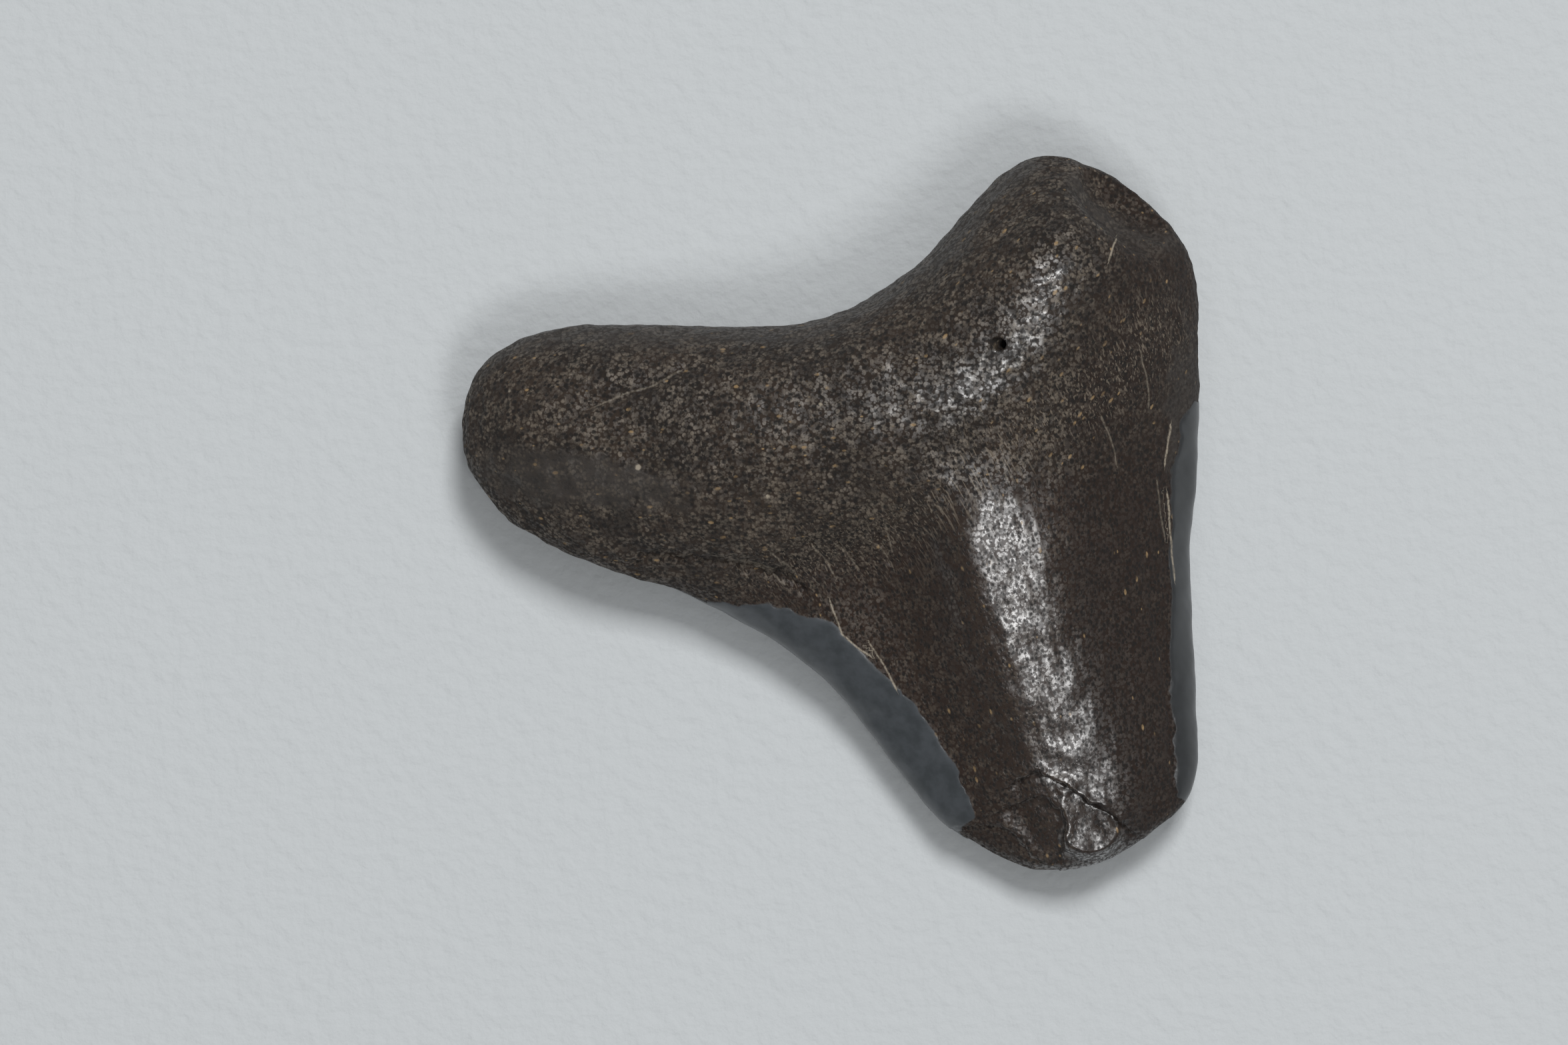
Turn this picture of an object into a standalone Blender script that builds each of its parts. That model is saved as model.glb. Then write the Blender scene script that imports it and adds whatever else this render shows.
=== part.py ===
"""A sea-worn fossil shark tooth: one solid, lying on its flat outer face.

Metres, +Z up. The inner face, with the nutrient hole, looks up. X and Y span the plane
the tooth rests on, with the crown's stump towards -Y and the long root lobe towards -X.
The origin is under the middle of the tooth's box.
"""

import math

import bmesh
import bpy
import numpy as np

MM = 0.001

# Driving dimensions
TOOTH_WIDTH = 30.0 * MM  # from the end of the long root lobe to the crown's right edge
TOOTH_THICKNESS = 9.4 * MM  # at the bulge beside the nutrient hole
RIM_RADIUS = 2.3 * MM  # how far the worn rim rolls over, seen from above
FORAMEN_RADIUS = 0.25 * MM
FORAMEN_DEPTH = 2.2 * MM

# Metres for each unit of the outline and of the height maps, which are written for a tooth
# 30 wide and 9.4 thick
PLAN = TOOTH_WIDTH / 30.0
HEIGHT = TOOTH_THICKNESS / 9.4

# How finely the form is worked, and how many triangles it keeps before the last two cuts
WORKING_EDGE = 0.30 * MM
FINISHED_TRIANGLES = 8800

# The tooth's outline from above, clockwise from the end of the long root lobe
OUTLINE = [
    (-15.0, 3.4), (-14.75, 4.9), (-14.1, 6.1), (-13.2, 6.85), (-12.0, 7.35), (-10.4, 7.65),
    (-6.6, 7.7), (-2.6, 7.65), (-1.1, 7.8), (0.1, 8.1), (1.5, 8.7), (2.9, 9.65),
    (4.2, 10.8), (5.5, 12.3), (6.9, 13.75), (8.0, 14.45), (9.0, 14.6), (9.7, 14.45),
    (10.2, 14.15), (11.0, 13.95), (12.3, 13.05), (13.5, 12.0), (14.35, 10.9), (14.8, 9.7),
    (14.95, 8.4), (15.0, 5.5), (14.9, 2.0), (14.75, -0.2), (14.65, -1.2), (14.75, -4.2),
    (14.95, -8.6), (14.9, -10.6), (14.4, -11.8), (13.6, -12.5), (12.3, -13.5),
    (10.9, -14.2), (9.6, -14.5), (8.5, -14.6), (7.7, -14.4), (6.9, -14.0), (5.5, -13.3),
    (4.1, -12.1), (2.8, -10.5), (1.5, -8.75), (0.4, -7.3), (-1.2, -5.9), (-3.9, -4.2),
    (-5.3, -3.5), (-6.4, -2.95), (-6.9, -2.8), (-8.0, -2.6), (-9.3, -2.15), (-10.7, -1.6),
    (-12.0, -0.9), (-13.4, 0.1), (-14.25, 1.1), (-14.8, 2.2),
]

# Heights of the upper, inner face: x, y, height
INNER_FACE = [
    # long root lobe, from its end inwards
    (-14.2, 3.6, 5.2), (-13.1, 5.8, 5.2), (-12.8, 1.4, 5.4), (-11.5, 3.6, 6.5),
    (-10.7, 6.3, 6.0), (-10.7, 0.4, 5.9), (-8.0, 3.1, 7.2), (-8.0, 6.6, 6.6),
    (-8.5, -0.7, 5.8), (-5.3, 3.6, 7.9), (-5.3, 6.6, 7.1), (-5.3, 0.1, 7.1),
    (-5.3, -2.1, 5.2), (-2.6, 4.4, 8.4), (-2.6, 0.9, 7.8), (-2.6, -1.3, 6.2),
    (-2.6, -3.4, 4.3),
    # middle of the root, its bulge and the neck below it
    (0.1, 5.5, 8.7), (0.1, 2.0, 8.3), (0.1, -0.5, 6.8), (0.1, -2.6, 4.9),
    (0.1, -4.8, 4.3), (2.8, 7.4, 8.5), (2.8, 4.7, 9.1), (2.8, 0.9, 7.8),
    (5.5, 9.0, 8.8), (6.3, 6.3, 9.4), (5.5, 3.6, 8.7), (6.4, 2.8, 8.3),
    (8.5, 8.2, 9.35), (9.6, 5.8, 8.5), (9.6, 2.5, 7.3), (11.7, 8.5, 7.8),
    (11.7, 5.2, 7.0), (11.7, 2.0, 6.1), (13.9, 7.9, 6.1), (13.9, 4.1, 4.9),
    (13.9, 1.4, 4.6),
    # short root lobe
    (6.9, 12.0, 7.5), (8.5, 11.4, 8.8), (9.0, 13.3, 7.1), (10.7, 11.7, 8.1),
    (11.7, 12.5, 7.0), (13.4, 10.9, 6.5), (11.7, 10.1, 8.0),
    # crown, in rows across it: left flank, broad sloping ridge, right flank
    (2.6, -1.7, 5.7), (3.8, -1.5, 6.4), (5.0, -1.5, 7.3), (6.0, -1.5, 7.7),
    (7.0, -1.5, 7.7), (8.7, -1.5, 7.4), (10.2, -1.5, 6.7), (11.7, -1.5, 5.8), (13.2, -1.5, 4.8),
    (2.6, -4.2, 4.7), (3.8, -4.0, 5.4), (5.2, -4.0, 6.6), (6.3, -4.0, 7.0),
    (7.5, -4.0, 7.0), (9.2, -4.0, 6.65), (10.7, -4.0, 5.95), (12.2, -4.0, 5.2), (13.7, -4.0, 4.4),
    (2.8, -6.4, 4.2), (4.3, -6.5, 4.8), (5.9, -6.5, 5.8), (7.1, -6.5, 6.25),
    (8.4, -6.5, 6.25), (10.0, -6.5, 5.95), (11.5, -6.5, 5.35), (12.8, -6.5, 4.75), (14.0, -6.5, 4.1),
    (5.1, -9.0, 4.2), (6.6, -9.0, 5.0), (7.9, -9.0, 5.45), (9.3, -9.0, 5.5),
    (10.9, -9.0, 5.2), (12.3, -9.0, 4.7), (13.6, -9.0, 4.1),
    (5.6, -11.5, 3.7), (7.0, -11.3, 4.4), (8.5, -11.3, 4.75), (10.0, -11.3, 4.8),
    (11.6, -11.2, 4.5), (13.1, -11.2, 4.0),
    (6.3, -13.1, 3.5), (8.3, -13.3, 4.1), (10.0, -13.3, 4.2), (11.3, -13.0, 4.1), (12.5, -12.7, 3.8),
]

# Heights of the rim, where the tooth is widest: thick round the root, low along the crown
RIM = [
    (-15.0, 3.6, 3.1), (-8.0, 7.7, 3.5), (0.1, 8.1, 3.9), (5.5, 12.3, 3.8),
    (9.0, 14.6, 3.8), (12.4, 13.0, 4.4), (14.3, 11.0, 3.8), (15.0, 6.6, 3.4),
    (15.0, 2.0, 2.9), (14.7, -3.4, 2.5), (14.9, -9.0, 2.4), (12.9, -13.0, 2.4),
    (9.6, -14.5, 2.3), (6.9, -14.0, 2.3), (4.1, -12.1, 2.2), (0.5, -7.4, 2.3),
    (-3.9, -4.2, 2.7), (-8.0, -2.6, 3.2), (-13.4, 0.1, 3.2),
]

# Heights of the lower, outer face. What stands below 0 is worn flat there, under the middle.
OUTER_FACE = [
    (-13.0, 3.5, 0.95), (-9.0, 3.0, 0.5), (-5.0, 2.5, 0.12), (0.0, 2.5, -0.3),
    (5.0, 4.0, -0.45), (8.5, 7.0, -0.2), (10.0, 11.0, 0.55), (0.0, -3.0, -0.05),
    (5.0, -2.0, -0.45), (10.0, -2.0, -0.35), (9.0, -7.0, -0.15), (8.8, -12.0, 0.5),
    (13.5, -6.0, 0.3), (13.5, 4.0, 0.15), (-11.0, 6.0, 0.8), (-11.0, 0.5, 0.7),
]

# Edges where the upper face keeps its height nearly to the outline, instead of rolling over
# slowly: how far inwards that reaches, how blunt the edge is from 0 to 1, then its points
BLUNT_EDGES = [
    (2.2, 0.65, [(6.3, -13.7), (8.5, -14.6), (10.9, -14.2), (13.6, -12.5)]),
    (1.8, 0.45, [(10.2, 14.15), (12.3, 13.05), (14.35, 10.9)]),
]

# Flake scars, each the dish that an egg-shaped cutter leaves: x, y and height of the dish's
# bottom, the cutter's half length, half width and half height, and its turn in degrees
SCARS = [
    (12.0, 12.6, 5.3, 2.9, 1.7, 1.7, -40.0),  # hollow in the end of the short lobe
    (8.4, -13.2, 3.4, 2.2, 1.7, 1.6, 98.0),  # flake off the crown's broken tip
    (6.4, -14.3, 2.3, 2.6, 1.6, 2.2, -28.0),  # corner of the break
]

# Where the crown's tip broke away, the ground beyond this line lies lower: drop, width of the
# ledge, then its points from left to right
TIP_BREAK = (0.32, 0.5, [(4.6, -12.6), (6.6, -11.9), (7.6, -10.6), (8.6, -10.4), (9.4, -10.8),
                         (10.6, -11.7), (11.7, -12.3), (12.6, -13.4)])

# Creases across the upper face: depth, half width, then the points they run through
CREASES = [
    (0.22, 0.35, [(-9.9, 4.5), (-7.7, 5.1), (-6.1, 5.8), (-4.5, 6.2)]),
    (0.30, 0.45, [(-7.2, -2.1), (-4.4, -2.2), (-2.0, -2.7), (0.2, -1.6)]),
    (0.16, 0.30, [(12.9, -1.5), (13.5, -4.8), (13.9, -7.5), (14.1, -11.5)]),
]

# The nutrient hole slants into the root, under the bulge
FORAMEN_MOUTH = (6.6, 6.8)
FORAMEN_LEAN = math.radians(28.0)


def smooth_surface(spots):
    """A function of x and y that passes smoothly through every (x, y, height) spot."""
    table = np.array(spots)
    places = table[:, :2]

    def bending(x, y):
        squared = (x[:, None] - places[:, 0]) ** 2 + (y[:, None] - places[:, 1]) ** 2
        return 0.5 * squared * np.log(squared + 1e-9)

    count = len(spots)
    plane = np.column_stack([np.ones(count), places])
    system = np.zeros((count + 3, count + 3))
    system[:count, :count] = bending(places[:, 0], places[:, 1])
    system[:count, count:] = plane
    system[count:, :count] = plane.T
    weights = np.linalg.solve(system, np.append(table[:, 2], np.zeros(3)))

    def height(x, y):
        return (
            bending(x, y) @ weights[:count]
            + weights[count]
            + weights[count + 1] * x
            + weights[count + 2] * y
        )

    return height


def distance_to_path(x, y, path):
    """How far each (x, y) lies from a line of straight runs."""
    nearest = np.full(len(x), np.inf)
    for (ax, ay), (bx, by) in zip(path, path[1:]):
        run = np.array([bx - ax, by - ay])
        along = ((x - ax) * run[0] + (y - ay) * run[1]) / run.dot(run)
        along = np.clip(along, 0.0, 1.0)
        gap = np.hypot(x - ax - along * run[0], y - ay - along * run[1])
        nearest = np.minimum(nearest, gap)
    return nearest


def inner_height(x, y):
    """Height of the upper face: the smooth form, with its creases."""
    height = smooth_surface(INNER_FACE)(x, y)
    for depth, half_width, path in CREASES:
        height -= depth * np.exp(-((distance_to_path(x, y, path) / half_width) ** 2))
    drop, width, path = TIP_BREAK
    border = np.interp(x, *np.transpose(path))
    share = np.clip(distance_to_path(x, y, path) / width, 0.0, 1.0)
    return height - np.where(y < border, drop * share, 0.0)


def make_blank():
    """A flat pebble of the tooth's outline, with a round rim as deep as it is wide."""
    curve = bpy.data.curves.new("blank", "CURVE")
    curve.dimensions = "2D"
    curve.fill_mode = "BOTH"
    curve.resolution_u = 6
    curve.bevel_depth = RIM_RADIUS
    curve.bevel_resolution = 6
    curve.offset = -RIM_RADIUS
    spline = curve.splines.new("BEZIER")
    spline.bezier_points.add(len(OUTLINE) - 1)
    spline.use_cyclic_u = True
    for point, (x, y) in zip(spline.bezier_points, OUTLINE):
        point.co = (x * PLAN, y * PLAN, 0.0)
        point.handle_left_type = "AUTO"
        point.handle_right_type = "AUTO"
    return bpy.data.objects.new("blank", curve)


def baked(obj, name):
    """A new mesh object that holds obj as its modifiers leave it. The old object goes."""
    if obj.name not in bpy.context.scene.collection.all_objects:
        bpy.context.scene.collection.objects.link(obj)
    graph = bpy.context.evaluated_depsgraph_get()
    mesh = bpy.data.meshes.new_from_object(obj.evaluated_get(graph))
    mesh.name = name
    bpy.data.objects.remove(obj)
    work = bmesh.new()
    work.from_mesh(mesh)
    bmesh.ops.remove_doubles(work, verts=work.verts, dist=0.001 * MM)
    work.to_mesh(mesh)
    work.free()
    result = bpy.data.objects.new(name, mesh)
    bpy.context.scene.collection.objects.link(result)
    return result


def add_remesh(obj):
    remesh = obj.modifiers.new("even mesh", "REMESH")
    remesh.mode = "VOXEL"
    remesh.voxel_size = WORKING_EDGE
    remesh.use_smooth_shade = True


def add_cut(obj, cutter):
    cut = obj.modifiers.new(cutter.name, "BOOLEAN")
    cut.operation = "DIFFERENCE"
    cut.solver = "EXACT"
    cut.object = cutter


def sculpt(obj):
    """Stretches the blank up to the inner face and down to the outer one, from its rim."""
    points = np.empty(len(obj.data.vertices) * 3)
    obj.data.vertices.foreach_get("co", points)
    points = points.reshape(-1, 3)
    x, y = points[:, 0] / PLAN, points[:, 1] / PLAN
    share = np.clip(points[:, 2] / RIM_RADIUS, -1.0, 1.0)
    for reach, bluntness, path in BLUNT_EDGES:
        local = bluntness * np.exp(-((distance_to_path(x, y, path) / reach) ** 2))
        share = np.where(share > 0, np.abs(share) ** (1.0 - local), share)
    rim = smooth_surface(RIM)(x, y)
    up = inner_height(x, y) - rim
    down = rim - smooth_surface(OUTER_FACE)(x, y)
    points[:, 2] = HEIGHT * (rim + np.where(share > 0, up, down) * share)
    obj.data.vertices.foreach_set("co", points.astype(np.float32).ravel())
    obj.data.update()


def as_cutter(work, name, collection):
    mesh = bpy.data.meshes.new(name)
    work.to_mesh(mesh)
    work.free()
    cutter = bpy.data.objects.new(name, mesh)
    cutter.hide_render = True
    cutter.display_type = "WIRE"
    collection.objects.link(cutter)
    return cutter


def scar_cutter(number, scar, collection):
    x, y, bottom, half_length, half_width, half_height, turn = scar
    halves = (half_length * PLAN, half_width * PLAN, half_height * HEIGHT)
    work = bmesh.new()
    bmesh.ops.create_icosphere(work, subdivisions=4, radius=1.0)
    bmesh.ops.scale(work, vec=halves, verts=work.verts)
    cutter = as_cutter(work, f"scar_cutter_{number}", collection)
    cutter.location = (x * PLAN, y * PLAN, (bottom + half_height) * HEIGHT)
    cutter.rotation_euler = (0.0, 0.0, math.radians(turn))
    return cutter


def foramen_cutter(collection):
    """A leaning drill, a little narrower inside, whose middle is at the hole's mouth."""
    x, y = FORAMEN_MOUTH
    top = inner_height(np.array([x]), np.array([y]))[0]
    work = bmesh.new()
    bmesh.ops.create_cone(
        work,
        cap_ends=True,
        segments=12,
        radius1=0.6 * FORAMEN_RADIUS,
        radius2=1.2 * FORAMEN_RADIUS,
        depth=2.0 * FORAMEN_DEPTH,
    )
    cutter = as_cutter(work, "foramen_cutter", collection)
    cutter.location = (x * PLAN, y * PLAN, top * HEIGHT)
    cutter.rotation_euler = (0.0, -FORAMEN_LEAN, 0.0)
    return cutter


def table_cutter(collection):
    """A slab whose top is the plane that the tooth rests on."""
    work = bmesh.new()
    bmesh.ops.create_cube(work, size=1.0)
    bmesh.ops.scale(work, vec=(1.5 * TOOTH_WIDTH, 1.5 * TOOTH_WIDTH, TOOTH_THICKNESS), verts=work.verts)
    cutter = as_cutter(work, "table_cutter", collection)
    cutter.location = (0.0, 0.0, -0.5 * TOOTH_THICKNESS)
    return cutter


def tooth_material():
    """Water-worn black-brown fossil dentine, with a dull sheen."""
    material = bpy.data.materials.new("worn_fossil_dentine")
    material.use_nodes = True
    shader = material.node_tree.nodes["Principled BSDF"]
    shader.inputs["Base Color"].default_value = (0.028, 0.022, 0.018, 1.0)
    shader.inputs["Roughness"].default_value = 0.45
    shader.inputs["Metallic"].default_value = 0.0
    return material


def new_collection(name):
    collection = bpy.data.collections.new(name)
    bpy.context.scene.collection.children.link(collection)
    return collection


def clear_scene():
    for obj in list(bpy.data.objects):
        bpy.data.objects.remove(obj)


def make_tooth(collection, cutters):
    blank = baked(make_blank(), "blank")
    add_remesh(blank)
    rough = baked(blank, "rough")
    sculpt(rough)
    for number, scar in enumerate(SCARS, start=1):
        add_cut(rough, scar_cutter(number, scar, cutters))
    add_remesh(rough)
    wear = rough.modifiers.new("wear", "SMOOTH")
    wear.factor = 0.5
    wear.iterations = 4
    thin = rough.modifiers.new("fewer triangles", "DECIMATE")
    thin.ratio = 1.0
    bpy.context.view_layer.update()
    graph = bpy.context.evaluated_depsgraph_get()
    worked = len(rough.evaluated_get(graph).data.loop_triangles)
    thin.ratio = FINISHED_TRIANGLES / worked
    thin.use_collapse_triangulate = True
    tooth = baked(rough, "tooth")
    bpy.context.scene.collection.objects.unlink(tooth)
    collection.objects.link(tooth)
    add_cut(tooth, foramen_cutter(cutters))
    add_cut(tooth, table_cutter(cutters))
    tooth.data.shade_smooth()
    tooth.data.materials.append(tooth_material())
    return tooth


def main():
    clear_scene()
    collection = new_collection("fossil_shark_tooth")
    cutters = new_collection("cutters")
    cutters.hide_render = True
    make_tooth(collection, cutters)


main()
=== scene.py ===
import math

import bmesh
import bpy
import numpy as np
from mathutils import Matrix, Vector


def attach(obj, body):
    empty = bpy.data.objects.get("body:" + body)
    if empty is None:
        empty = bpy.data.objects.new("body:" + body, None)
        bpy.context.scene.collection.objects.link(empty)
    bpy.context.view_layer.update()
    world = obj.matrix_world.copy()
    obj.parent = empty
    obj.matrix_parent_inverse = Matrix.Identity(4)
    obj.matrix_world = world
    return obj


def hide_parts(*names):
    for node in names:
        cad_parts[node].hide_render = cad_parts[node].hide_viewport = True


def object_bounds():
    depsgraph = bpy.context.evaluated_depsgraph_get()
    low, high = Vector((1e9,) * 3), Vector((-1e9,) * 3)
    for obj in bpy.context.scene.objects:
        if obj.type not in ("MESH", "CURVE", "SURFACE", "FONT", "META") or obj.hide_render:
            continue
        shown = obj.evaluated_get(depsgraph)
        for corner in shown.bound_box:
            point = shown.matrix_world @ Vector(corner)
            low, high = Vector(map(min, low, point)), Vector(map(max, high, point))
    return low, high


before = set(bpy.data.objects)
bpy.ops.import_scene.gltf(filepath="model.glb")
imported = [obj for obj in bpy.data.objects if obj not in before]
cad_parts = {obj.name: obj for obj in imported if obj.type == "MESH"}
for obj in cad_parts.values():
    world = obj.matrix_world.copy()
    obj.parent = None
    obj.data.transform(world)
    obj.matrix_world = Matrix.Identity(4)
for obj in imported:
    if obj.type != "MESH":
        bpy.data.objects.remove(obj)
cadBox = [list(corner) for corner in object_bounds()]
mm = 0.001

# The tooth's finish. Places are millimetres in the frame of the solid, seen from above.
tooth = {
    "mergeReach": 0.002,       # mm, nearer points of the solid are one point
    "meshEdge": 0.112,         # mm, the fine mesh's own edge
    "undersideShare": 0.1,     # of the triangles that the underside keeps
    "facetWear": 80,           # passes that smooth the solid's facets away
    "stepWear": 4,             # passes for the steps that the remesh leaves
    "foramenMouth": (6.6, 6.8),
    "foramenFrom": 6.0,        # mm, a height that lies under the hole's mouth
    "foramenKeep": 0.8,        # mm round the nutrient hole that stays crisp
    "foramenFade": 0.6,        # mm over which the wear then comes in
    "pitDepth": 0.026,         # mm, of the widest pits
    "lumpSize": 0.55,          # mm, the unevenness between them
    "lumpHeight": 0.022,       # mm
    "lumpDetail": 1.5,
    "grainLoss": 0.8,          # of the pits and lumps, on the crown and where the root is worn
    "enamelStep": 0.06,        # mm that the enamel stands over the dentine
    "seed": 11,
}

# How the dentine's fibres run, in degrees from +X: long lobe, short lobe, crown
grainTurns = (6.0, 53.0, -76.0)
# The size of a cell that may hold one pit, in mm along and across the fibres
widePits = ((0.44, 0.38), (0.44, 0.38), (0.36, 0.25))
smallPits = ((0.24, 0.21), (0.24, 0.21), (0.22, 0.15))
fleckCells = ((0.40, 0.22), (0.40, 0.22), (0.42, 0.20))

# Where the crests, creases and edges run over the inner face
crownCrest = [(5.9, 3.4), (6.5, 1.0), (7.0, -1.5), (7.5, -4.0), (8.4, -6.5), (9.3, -9.0),
              (10.0, -11.3), (10.3, -13.6)]
rootCrest = [(9.5, 10.2), (8.8, 8.7), (8.0, 7.6), (6.9, 6.2), (5.8, 5.3), (4.2, 4.8), (2.3, 4.5),
             (0.0, 4.2), (-3.0, 4.0)]
rimInner = [(-14.7, 4.7), (-13.9, 5.7), (-12.7, 6.4), (-11.1, 6.8), (-6.6, 6.8), (-1.7, 6.8),
            (-0.1, 7.0), (1.5, 7.9), (4.2, 9.5), (5.3, 10.3), (6.4, 12.0), (7.4, 13.0),
            (8.4, 13.8), (8.4, 16.0), (-16.0, 16.0), (-16.0, 4.7)]

# The enamel left along the crown's two edges
enamelLeft = [(-6.6, -2.9), (-5.0, -3.5), (-3.8, -3.6), (-2.4, -3.6), (-1.7, -3.8), (-0.9, -4.1),
              (0.1, -4.3), (0.7, -4.9), (1.3, -5.6), (2.1, -6.3), (2.8, -7.0), (3.4, -7.7),
              (4.1, -8.6), (4.7, -9.6), (5.2, -10.5), (5.7, -11.5), (5.85, -12.2), (5.3, -12.8),
              (4.4, -13.6), (-6.6, -13.6)]
enamelRight = [(15.4, 4.9), (14.3, 4.3), (14.1, 3.3), (14.0, 2.5), (13.8, 1.8), (13.7, 0.6),
               (13.7, -2.1), (13.8, -3.4), (13.7, -5.3), (13.8, -7.2), (13.9, -8.9),
               (14.0, -10.4), (14.0, -11.4), (15.4, -12.4)]
# The enamel's upper border on the outer face, a low chevron under the root
outerBorder = [(-6.6, -2.9), (-2.0, -0.6), (3.0, 1.6), (7.0, 2.3), (11.0, 3.0), (15.4, 4.9)]

# The crown's ridge is worn to a broad sloping band along a line of spots
ridge = {
    "spots": [(6.9, -0.8), (7.45, -3.5), (8.6, -6.4), (9.8, -9.0), (10.4, -11.2)],
    "reach": 3.15,             # mm from the line, where the band starts
    "fade": 2.6,               # mm over which it then comes in
    "hold": 2.1,               # mm along the line, over which a spot's height holds
    "share": 0.75,             # of the way that the surface goes to the band
    "slope": (-0.12, 0.208),   # along +X and +Y
}
# The mound beside the flake at the broken tip, as high as the surface there and a rise
mound = {
    "middle": (10.55, -12.75),
    "half": (1.3, 1.1),        # mm
    "rise": 0.14,              # mm
    "slope": (-0.12, 0.208),
    "reach": 1.18,             # of its half size, where it starts
    "fade": 0.38,              # of its half size, over which it then comes in
}

# Y of a line past the tip, which closes an outline that holds the whole crown
beyondTip = -20.0
# Where the root ends and the crown begins, from left to right
neckLine = [(-7.5, -3.4), (-3.0, -2.7), (0.0, -1.6), (3.0, -0.6), (6.0, 1.3), (9.0, 1.6),
            (12.0, 1.6), (15.5, 3.2)]

# Creases: depth and half width in mm, then the points they run through
creases = {
    "lobeTop": (0.10, 0.15, [(-10.7, 3.8), (-9.3, 4.5), (-8.2, 4.8), (-7.4, 5.1), (-6.6, 5.4),
                             (-5.8, 5.8)]),
    "lobeLedge": (0.19, 0.18, [(-7.7, -1.8), (-6.9, -1.6), (-4.7, -1.9), (-3.2, -2.2),
                               (-1.8, -2.5), (-1.1, -3.0)]),
    "neckOne": (0.09, 0.09, [(0.3, -1.0), (1.3, -2.3)]),
    "neckTwo": (0.09, 0.08, [(-0.9, -1.1), (0.0, -2.0)]),
    "neckThree": (0.08, 0.09, [(1.8, -0.8), (2.5, -2.0)]),
    "neckFour": (0.08, 0.09, [(2.7, -0.7), (3.3, -1.8)]),
    "neckFive": (0.08, 0.08, [(-2.0, -1.5), (-1.1, -2.4)]),
    "rightFlank": (0.07, 0.12, [(12.4, -0.3), (12.7, -1.9), (13.0, -3.4), (13.2, -4.6),
                                (13.5, -5.9), (13.7, -7.5), (13.8, -9.4), (13.9, -10.9)]),
}
# The worn lip over the hollow in the short lobe's end stands up: height, half width, points
lip = (0.10, 0.38, [(9.8, 13.4), (10.4, 12.3), (11.1, 11.7), (11.9, 11.2), (12.7, 11.0),
                    (13.6, 11.0)])
# The hollow: depth, half width and width of its slope, then its axis
hollow = (0.22, 1.05, 0.55, [(10.9, 13.6), (12.0, 12.8), (13.0, 12.0), (13.6, 11.5)])
# Fine scratches show beside this line, over the neck and up the root's right side
scratchPath = [(-2.5, -2.0), (1.5, -1.2), (4.5, 0.6), (7.5, 3.4), (11.0, 5.2), (13.2, 7.5)]
# Ledges of the broken tip: the ground falls away to the right of each run. Depth and width of
# the fall and how far it takes to come back, in mm
chipEdges = {
    "upperFlake": (0.34, 0.22, 0.6, [(7.8, -10.5), (8.2, -10.2), (8.5, -10.4), (8.9, -10.6),
                                      (9.4, -10.7), (10.0, -11.2), (10.6, -11.6), (11.2, -11.9),
                                      (11.7, -12.3)]),
    "lowerFlake": (0.20, 0.16, 0.9, [(7.5, -11.7), (8.2, -11.4), (8.8, -11.5), (9.2, -11.9),
                                     (9.6, -12.4), (9.5, -13.0), (9.4, -13.7)]),
    "cornerFlake": (0.16, 0.16, 1.2, [(5.9, -12.6), (6.9, -12.5), (7.6, -13.0), (8.3, -13.8)]),
}
# Pale flaking lines beside the enamel
paleLines = [
    [(0.0, -3.5), (0.5, -4.8), (1.2, -5.4), (1.6, -5.7)],
    [(1.6, -5.2), (2.2, -6.1), (2.7, -7.0)],
    [(13.7, 3.6), (13.5, 2.0)],
    [(13.6, 0.9), (13.7, -0.7), (13.9, -2.6)],
    [(11.1, 10.1), (11.4, 11.0)],
]
# Fainter light strokes over the neck and along two creases, and how strongly they show
faintLines = [
    [(-3.6, -1.9), (-2.7, -2.3), (-1.8, -2.8)],
    [(-2.4, -1.5), (-1.4, -2.3)],
    [(-0.7, -1.3), (-0.2, -1.8), (0.2, -2.5)],
    [(0.2, -1.2), (0.7, -1.6), (1.1, -2.2)],
    [(1.6, -1.0), (2.1, -1.4), (2.5, -2.1)],
    [(2.2, -0.4), (2.5, -1.5)],
    [(-9.6, 4.3), (-8.2, 4.9), (-7.2, 5.2), (-6.0, 5.8)],
    [(-4.6, -1.75), (-3.2, -2.05), (-2.3, -2.2)],
    [(12.4, 6.6), (12.7, 5.5), (12.8, 4.4)],
    [(10.9, 3.9), (11.3, 3.0), (11.5, 2.0)],
    [(13.2, 1.4), (13.3, 0.2), (13.5, -1.0)],
]
faintShare = 0.38
# Pale grains: place and radius
paleGrains = [(-7.7, 1.9, 0.13), (-2.5, 0.7, 0.10), (-0.4, 4.4, 0.10), (-12.9, 5.0, 0.08)]


# Distance from each point to a line of straight runs, with the side it lies on (left positive)
# and the length gone along it
def alongPath(x, y, path):
    best = np.full(len(x), np.inf)
    side = np.zeros(len(x))
    gone = np.zeros(len(x))
    start = 0.0
    for (ax, ay), (bx, by) in zip(path, path[1:]):
        dx, dy = bx - ax, by - ay
        run = math.hypot(dx, dy)
        t = ((x - ax) * dx + (y - ay) * dy) / run**2
        held = np.clip(t, 0.0, 1.0)
        ox, oy = x - ax - held * dx, y - ay - held * dy
        gap = np.hypot(ox, oy)
        nearer = gap < best
        best[nearer] = gap[nearer]
        side[nearer] = np.sign(dx * oy - dy * ox)[nearer]
        gone[nearer] = (start + held * run)[nearer]
        start += run
    return best, side, gone


# Even-odd test of each point against a closed outline
def inside(x, y, outline):
    found = np.zeros(len(x), bool)
    for (ax, ay), (bx, by) in zip(outline, outline[1:] + outline[:1]):
        if ay == by:
            continue
        crosses = (ay > y) != (by > y)
        found ^= crosses & (x < ax + (y - ay) * (bx - ax) / (by - ay))
    return found


# Distance inside an outline in mm, negative outside
def signedGap(x, y, outline):
    gap, _, _ = alongPath(x, y, outline + outline[:1])
    return np.where(inside(x, y, outline), gap, -gap)


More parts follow.
